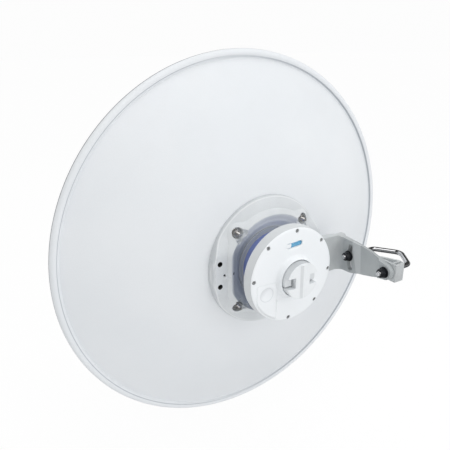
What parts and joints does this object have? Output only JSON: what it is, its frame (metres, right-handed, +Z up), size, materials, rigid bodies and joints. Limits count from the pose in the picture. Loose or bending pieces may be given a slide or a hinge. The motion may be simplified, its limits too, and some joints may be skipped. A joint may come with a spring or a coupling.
{
  "type": "dish antenna",
  "caption": "Round parabolic dish antenna with a radio hub behind it and a side arm that tilts on a U-bolt pole clamp.",
  "frame": {"origin": "middle of the flat land at the root of the clamp jaw's V, where the pole rests", "axes": "+X from the jaw towards the pole, to the right seen from behind; +Y the way the dish looks at rest; +Z up, along the pole"},
  "size_m": [0.65, 0.4348, 0.65],
  "materials": {
    "dish_paint": "smooth bluish white powder coat",
    "plate_paint": "light grey paint on cast aluminium",
    "hub_side": "light grey moulded plastic",
    "hub_face": "white moulded plastic",
    "neck_blue": "dark blue moulded plastic",
    "vial_blue": "clear vial with blue fluid",
    "arm_cast": "grey paint on cast aluminium",
    "jaw_cast": "light grey cast aluminium",
    "chrome": "polished",
    "stainless": "bright stainless steel",
    "black_steel": "black coated steel",
    "feed_white": "white moulded plastic"
  },
  "bodies": {
    "clamp": {"clamp_jaw": "jaw_cast", "u_bolt": "chrome", "slot_nut": "black_steel", "pivot_nut": "black_steel", "slot_washer": "black_steel", "pivot_washer": "black_steel"},
    "dish": {"reflector": "dish_paint", "mounting_plate": "plate_paint", "plate_stud_1": "stainless", "plate_stud_2": "stainless", "plate_stud_3": "stainless", "plate_stud_4": "stainless", "plate_nut_1": "stainless", "plate_nut_2": "stainless", "plate_nut_3": "stainless", "plate_nut_4": "stainless", "plate_washer_1": "stainless", "plate_washer_2": "stainless", "plate_washer_3": "stainless", "plate_washer_4": "stainless", "hub_neck": "neck_blue", "hub_housing": "hub_side", "hub_cover": "hub_face", "cover_screw_1": "stainless", "cover_screw_2": "stainless", "cover_screw_3": "stainless", "cover_screw_4": "stainless", "cover_screw_5": "stainless", "cover_screw_6": "stainless", "cover_screw_7": "stainless", "level_vial": "vial_blue", "port_door": "hub_face", "latch_knob": "hub_face", "arm": "arm_cast", "arm_bolt_upper": "black_steel", "arm_bolt_lower": "black_steel", "feed_flange": "feed_white", "feed_tube": "feed_white", "feed_cap": "feed_white"}
  },
  "joints": [
    {"name": "elevation", "type": "hinge", "parent": "clamp", "child": "dish", "pos_m": [0, -0.03725, 0], "axis": [1, 0, 0], "range_deg": [-12, 15.5]}
  ]
}
